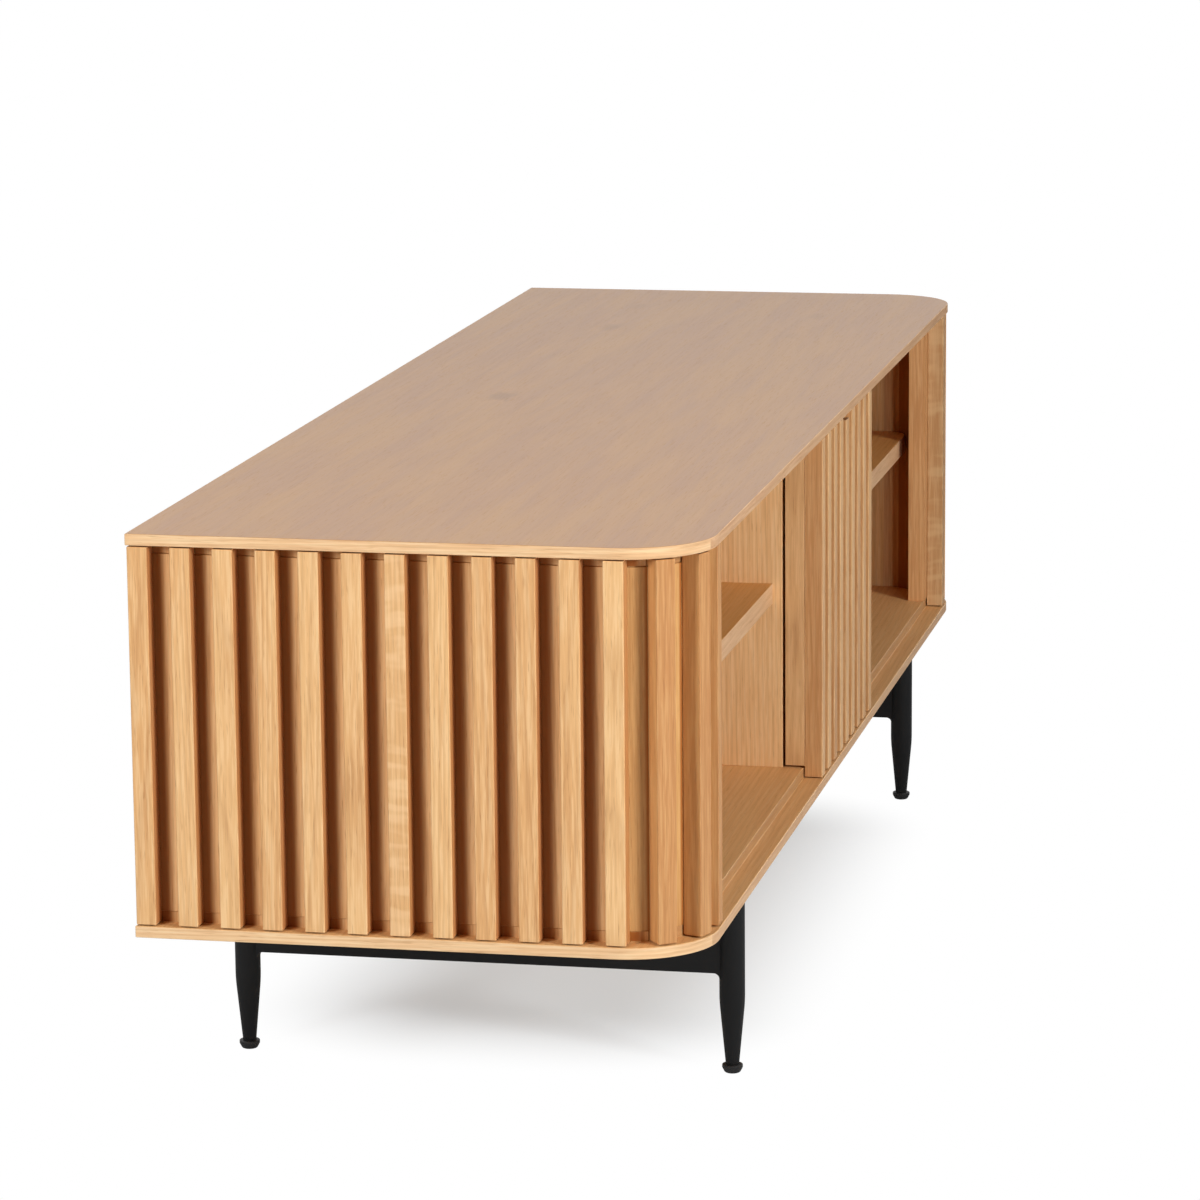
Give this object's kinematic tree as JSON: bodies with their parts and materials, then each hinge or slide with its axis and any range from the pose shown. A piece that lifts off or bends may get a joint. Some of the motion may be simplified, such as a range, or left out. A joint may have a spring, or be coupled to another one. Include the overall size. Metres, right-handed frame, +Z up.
{
  "type": "media cabinet",
  "caption": "Low oak media cabinet with curved slatted ends, open bays with shelves, a slatted sliding door and a black steel base.",
  "frame": {"origin": "on the floor under the middle of the cabinet's outline", "axes": "+X to the right when facing the front, the front faces -Y, +Z up"},
  "size_m": [1.45, 0.45, 0.478],
  "materials": {
    "board_veneer": "matt lacquered oak veneer, grain along the board",
    "panel_veneer": "matt lacquered oak veneer, upright grain",
    "divider_veneer": "matt lacquered oak veneer, upright grain",
    "shelf_veneer": "matt lacquered oak veneer, grain along the shelf",
    "back_veneer": "matt lacquered oak veneer on thin board",
    "slat_oak": "matt lacquered solid oak, upright grain",
    "dowel_beech": "plain beech",
    "black_paint": "matt black powder coat",
    "foot_plastic": "matt black plastic",
    "nylon": "natural white nylon",
    "track_aluminium": "anodised, satin",
    "screw_steel": "zinc plated"
  },
  "bodies": {
    "cabinet": {"top_board": "board_veneer", "bottom_board": "board_veneer", "left_end_panel": "panel_veneer", "right_end_panel": "panel_veneer", "back_panel": "back_veneer", "left_divider": "divider_veneer", "right_divider": "divider_veneer", "left_shelf": "shelf_veneer", "centre_shelf": "shelf_veneer", "right_shelf": "shelf_veneer", "door_track": "track_aluminium", "left_leg_frame": "black_paint", "right_leg_frame": "black_paint", "foot_glides": "foot_plastic", "dowels": "dowel_beech", "back_screws": "screw_steel", "frame_screws": "screw_steel", "left_slat_01": "slat_oak", "left_slat_02": "slat_oak", "left_slat_03": "slat_oak", "left_slat_04": "slat_oak", "left_slat_05": "slat_oak", "left_slat_06": "slat_oak", "left_slat_07": "slat_oak", "left_slat_08": "slat_oak", "left_slat_09": "slat_oak", "left_slat_10": "slat_oak", "left_slat_11": "slat_oak", "left_slat_12": "slat_oak", "left_slat_13": "slat_oak", "left_slat_14": "slat_oak", "left_slat_15": "slat_oak", "right_slat_01": "slat_oak", "right_slat_02": "slat_oak", "right_slat_03": "slat_oak", "right_slat_04": "slat_oak", "right_slat_05": "slat_oak", "right_slat_06": "slat_oak", "right_slat_07": "slat_oak", "right_slat_08": "slat_oak", "right_slat_09": "slat_oak", "right_slat_10": "slat_oak", "right_slat_11": "slat_oak", "right_slat_12": "slat_oak", "right_slat_13": "slat_oak", "right_slat_14": "slat_oak", "right_slat_15": "slat_oak"},
    "door": {"door_board": "panel_veneer", "door_hangers": "nylon", "door_glides": "nylon", "door_slat_01": "slat_oak", "door_slat_02": "slat_oak", "door_slat_03": "slat_oak", "door_slat_04": "slat_oak", "door_slat_05": "slat_oak", "door_slat_06": "slat_oak", "door_slat_07": "slat_oak", "door_slat_08": "slat_oak", "door_slat_09": "slat_oak"}
  },
  "joints": [
    {"name": "door_slide", "type": "slide", "parent": "cabinet", "child": "door", "axis": [1, 0, 0], "range_m": [-0.47, 0.47]}
  ]
}
